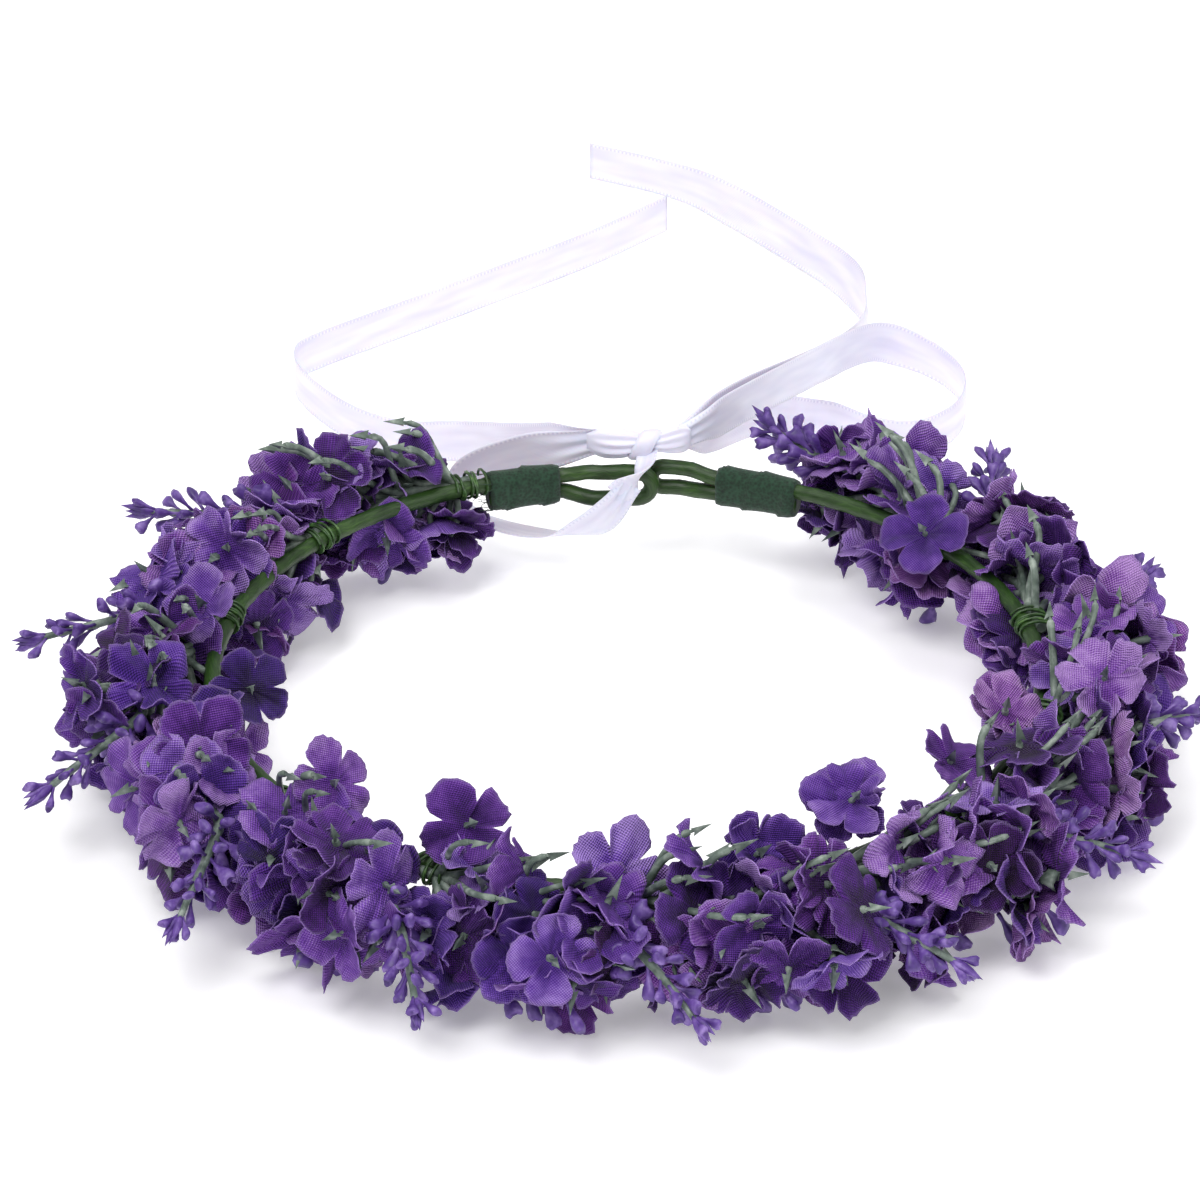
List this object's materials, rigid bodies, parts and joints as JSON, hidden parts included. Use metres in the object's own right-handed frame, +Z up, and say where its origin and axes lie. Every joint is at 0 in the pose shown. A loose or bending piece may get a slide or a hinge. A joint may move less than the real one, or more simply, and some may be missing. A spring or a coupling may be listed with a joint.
{
  "type": "flower crown",
  "caption": "Open wire hoop headpiece with bound lavender sprigs all round and a satin ribbon that ties its two back loops in a bow.",
  "frame": {"origin": "on the surface it lies on, under the middle of the crown's own outline (the ribbon left out)", "axes": "+Z up out of the hoop, +X to the right along the crown's widest direction, front towards -Y, tied back towards +Y"},
  "size_m": [0.2572, 0.4276, 0.0478],
  "materials": {
    "steel_wire": "drawn steel wire, hidden inside the tape",
    "floral_tape": "stretched waxed crepe paper tape, leaf green, satin",
    "cloth_tape": "dark green woven cloth tape, matte, frayed end",
    "stem_plastic": "moulded polyethylene, grey-green, semi-matte",
    "floret_fabric": "stiffened plain-weave polyester, dyed lavender to violet, matte",
    "bud_plastic": "moulded polyethylene buds, lilac over violet, semi-matte",
    "binding_wire": "fine wire with a green paper or enamel coat",
    "satin_ribbon": "white woven polyester satin with a stitched edge, soft sheen"
  },
  "bodies": {
    "left_half": {"hoop_wire_left": "steel_wire", "hoop_tape_left": "floral_tape", "loop_sleeve_left": "cloth_tape", "sprig_stem_01": "stem_plastic", "florets_01": "floret_fabric", "bud_spike_01": "bud_plastic", "binding_wire_01": "binding_wire", "sprig_stem_02": "stem_plastic", "florets_02": "floret_fabric", "bud_spike_02": "bud_plastic", "binding_wire_02": "binding_wire", "sprig_stem_03": "stem_plastic", "florets_03": "floret_fabric", "bud_spike_03": "bud_plastic", "binding_wire_03": "binding_wire", "sprig_stem_04": "stem_plastic", "florets_04": "floret_fabric", "bud_spike_04": "bud_plastic", "binding_wire_04": "binding_wire", "sprig_stem_05": "stem_plastic", "florets_05": "floret_fabric", "bud_spike_05": "bud_plastic", "binding_wire_05": "binding_wire", "sprig_stem_06": "stem_plastic", "florets_06": "floret_fabric", "bud_spike_06": "bud_plastic", "binding_wire_06": "binding_wire", "ribbon_knot": "satin_ribbon", "ribbon_tail_left": "satin_ribbon", "ribbon_tail_right": "satin_ribbon", "ribbon_bow_right": "satin_ribbon", "ribbon_bow_left": "satin_ribbon"},
    "right_half": {"hoop_wire_right": "steel_wire", "hoop_tape_right": "floral_tape", "loop_sleeve_right": "cloth_tape", "sprig_stem_07": "stem_plastic", "florets_07": "floret_fabric", "bud_spike_07": "bud_plastic", "binding_wire_07": "binding_wire", "sprig_stem_08": "stem_plastic", "florets_08": "floret_fabric", "bud_spike_08": "bud_plastic", "binding_wire_08": "binding_wire", "sprig_stem_09": "stem_plastic", "florets_09": "floret_fabric", "bud_spike_09": "bud_plastic", "binding_wire_09": "binding_wire", "sprig_stem_10": "stem_plastic", "florets_10": "floret_fabric", "bud_spike_10": "bud_plastic", "binding_wire_10": "binding_wire", "sprig_stem_11": "stem_plastic", "florets_11": "floret_fabric", "bud_spike_11": "bud_plastic", "binding_wire_11": "binding_wire", "sprig_stem_12": "stem_plastic", "florets_12": "floret_fabric", "bud_spike_12": "bud_plastic", "binding_wire_12": "binding_wire"}
  },
  "joints": [
    {"name": "hoop_opening", "type": "hinge", "parent": "left_half", "child": "right_half", "pos_m": [-0.00066, -0.08045, 0.0265], "axis": [0, 0, -1], "range_deg": [0, 6], "stiffness_Nm_per_rad": 0.3}
  ]
}
